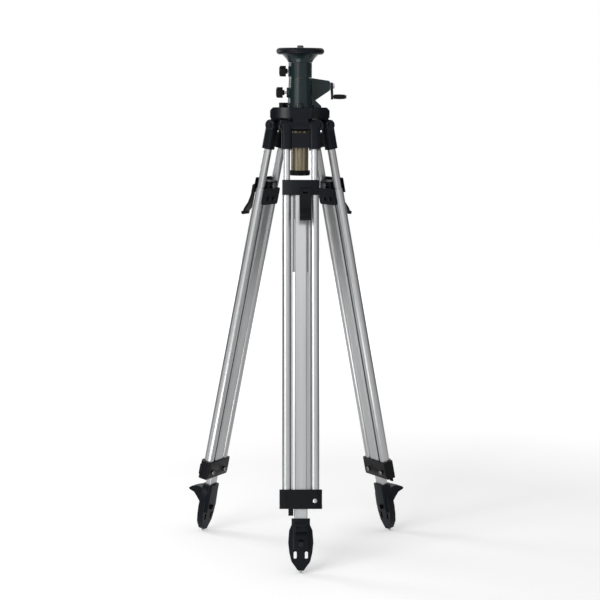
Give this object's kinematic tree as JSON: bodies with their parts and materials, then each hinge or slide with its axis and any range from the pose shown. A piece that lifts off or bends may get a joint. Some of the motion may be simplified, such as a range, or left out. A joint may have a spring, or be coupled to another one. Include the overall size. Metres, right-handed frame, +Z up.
{
  "type": "elevating tripod",
  "caption": "Surveying tripod with a cranked two-stage centre column, round top plate with stud, and telescopic twin-rail legs with flip-lever clamps and pointed feet.",
  "frame": {"origin": "middle of the seat on the top plate, where the instrument stud leaves it", "axes": "+Z up along the column and the stud, +X toward the crank, -Y toward the front leg"},
  "size_m": [0.5226, 0.4572, 1.1679],
  "materials": {
    "black_cast": "satin black paint over cast aluminium",
    "black_plastic": "fine matt black moulding",
    "grey_green": "dark grey-green paint over cast aluminium",
    "aluminium": "satin anodised drawn and extruded aluminium",
    "bronze_tube": "bronze anodised tube",
    "steel": "bright zinc plated steel",
    "black_steel": "blackened steel",
    "brass": "plain turned brass",
    "nylon": "natural nylon",
    "vial": "clear vial with yellow-green fluid"
  },
  "bodies": {
    "frame": {"head": "black_cast", "hinge_bolts": "black_steel", "housing": "grey_green", "housing_screws": "steel", "column_bushes": "nylon", "shaft_bushes": "brass", "level_cup": "black_plastic", "level_vial": "vial"},
    "column": {"column_tube": "bronze_tube", "rack": "steel", "column_collar": "grey_green", "column_cap": "black_plastic"},
    "mast": {"mast_tube": "bronze_tube", "top_plate": "grey_green", "stud": "steel"},
    "crank": {"crank_shaft": "steel", "pinion": "steel", "crank_arm": "black_steel"},
    "crank_handle": {"crank_grip": "black_plastic"},
    "mast_clamp": {"upper_knob": "black_plastic", "upper_knob_screw": "steel"},
    "column_clamp": {"lower_knob": "black_plastic", "lower_knob_screw": "steel"},
    "front_leg_upper": {"front_yoke": "black_cast", "front_rails": "aluminium"},
    "front_leg_middle": {"front_channel": "aluminium", "front_upper_clamp": "black_cast", "front_lower_collar": "black_plastic", "front_clamp_screws": "steel"},
    "front_leg_lower": {"front_inner_tube": "aluminium", "front_foot": "black_cast", "front_spike": "steel", "front_foot_bolt": "black_steel"},
    "front_upper_latch": {"front_upper_lever": "black_plastic"},
    "front_lower_latch": {"front_lower_lever": "black_plastic"},
    "left_leg_upper": {"left_yoke": "black_cast", "left_rails": "aluminium"},
    "left_leg_middle": {"left_channel": "aluminium", "left_upper_clamp": "black_cast", "left_lower_collar": "black_plastic", "left_clamp_screws": "steel"},
    "left_leg_lower": {"left_inner_tube": "aluminium", "left_foot": "black_cast", "left_spike": "steel", "left_foot_bolt": "black_steel"},
    "left_upper_latch": {"left_upper_lever": "black_plastic"},
    "left_lower_latch": {"left_lower_lever": "black_plastic"},
    "right_leg_upper": {"right_yoke": "black_cast", "right_rails": "aluminium"},
    "right_leg_middle": {"right_channel": "aluminium", "right_upper_clamp": "black_cast", "right_lower_collar": "black_plastic", "right_clamp_screws": "steel"},
    "right_leg_lower": {"right_inner_tube": "aluminium", "right_foot": "black_cast", "right_spike": "steel", "right_foot_bolt": "black_steel"},
    "right_upper_latch": {"right_upper_lever": "black_plastic"},
    "right_lower_latch": {"right_lower_lever": "black_plastic"}
  },
  "joints": [
    {"name": "column_lift", "type": "slide", "parent": "frame", "child": "column", "axis": [0, 0, 1], "range_m": [0, 0.108]},
    {"name": "mast_lift", "type": "slide", "parent": "column", "child": "mast", "axis": [0, 0, 1], "range_m": [0, 0.15]},
    {"name": "crank_turn", "type": "hinge", "parent": "frame", "child": "crank", "pos_m": [0.07, 0.03171, -0.086], "axis": [-1, 0, 0], "range_deg": [0, 708]},
    {"name": "grip_spin", "type": "hinge", "parent": "crank", "child": "crank_handle", "pos_m": [0.0875, 0.00019, -0.11063], "axis": [1, 0, 0], "continuous": true},
    {"name": "mast_knob_turn", "type": "hinge", "parent": "column", "child": "mast_clamp", "pos_m": [-0.04, 0, -0.05288], "axis": [-1, 0, 0], "range_deg": [0, 360]},
    {"name": "column_knob_turn", "type": "hinge", "parent": "frame", "child": "column_clamp", "pos_m": [-0.045, 0, -0.1015], "axis": [-1, 0, 0], "range_deg": [0, 360]},
    {"name": "front_leg_spread", "type": "hinge", "parent": "frame", "child": "front_leg_upper", "pos_m": [0, -0.0545, -0.1755], "axis": [-1, 0, 0], "range_deg": [-12, 14]},
    {"name": "front_middle_slide", "type": "slide", "parent": "front_leg_upper", "child": "front_leg_middle", "axis": [0, -0.2079, -0.9781], "range_m": [-0.055, 0.5]},
    {"name": "front_lower_slide", "type": "slide", "parent": "front_leg_middle", "child": "front_leg_lower", "axis": [0, -0.2079, -0.9781], "range_m": [-0.01, 0.5]},
    {"name": "front_upper_lever_flip", "type": "hinge", "parent": "front_leg_middle", "child": "front_upper_latch", "pos_m": [0.01, -0.10718, -0.3197], "axis": [-1, 0, 0], "range_deg": [0, 110]},
    {"name": "front_lower_lever_flip", "type": "hinge", "parent": "front_leg_middle", "child": "front_lower_latch", "pos_m": [0.0434, -0.23908, -0.99963], "axis": [0, 0.2079, 0.9781], "range_deg": [0, 105]},
    {"name": "left_leg_spread", "type": "hinge", "parent": "frame", "child": "left_leg_upper", "pos_m": [-0.0472, 0.02725, -0.1755], "axis": [0.5, 0.866, 0], "range_deg": [-12, 14]},
    {"name": "left_middle_slide", "type": "slide", "parent": "left_leg_upper", "child": "left_leg_middle", "axis": [-0.1801, 0.104, -0.9781], "range_m": [-0.055, 0.5]},
    {"name": "left_lower_slide", "type": "slide", "parent": "left_leg_middle", "child": "left_leg_lower", "axis": [-0.1801, 0.104, -0.9781], "range_m": [-0.01, 0.5]},
    {"name": "left_upper_lever_flip", "type": "hinge", "parent": "left_leg_middle", "child": "left_upper_latch", "pos_m": [-0.09782, 0.04493, -0.3197], "axis": [0.5, 0.866, 0], "range_deg": [0, 110]},
    {"name": "left_lower_lever_flip", "type": "hinge", "parent": "left_leg_middle", "child": "left_lower_latch", "pos_m": [-0.22875, 0.08195, -0.99963], "axis": [0.1801, -0.104, 0.9781], "range_deg": [0, 105]},
    {"name": "right_leg_spread", "type": "hinge", "parent": "frame", "child": "right_leg_upper", "pos_m": [0.0472, 0.02725, -0.1755], "axis": [0.5, -0.866, 0], "range_deg": [-12, 14]},
    {"name": "right_middle_slide", "type": "slide", "parent": "right_leg_upper", "child": "right_leg_middle", "axis": [0.1801, 0.104, -0.9781], "range_m": [-0.055, 0.5]},
    {"name": "right_lower_slide", "type": "slide", "parent": "right_leg_middle", "child": "right_leg_lower", "axis": [0.1801, 0.104, -0.9781], "range_m": [-0.01, 0.5]},
    {"name": "right_upper_lever_flip", "type": "hinge", "parent": "right_leg_middle", "child": "right_upper_latch", "pos_m": [0.08782, 0.06225, -0.3197], "axis": [0.5, -0.866, 0], "range_deg": [0, 110]},
    {"name": "right_lower_lever_flip", "type": "hinge", "parent": "right_leg_middle", "child": "right_lower_latch", "pos_m": [0.18535, 0.15713, -0.99963], "axis": [-0.1801, -0.104, 0.9781], "range_deg": [0, 105]}
  ],
  "couplings": [
    {"joint": "crank_turn", "follows": "column_lift", "rad_per_m": 114.29}
  ]
}
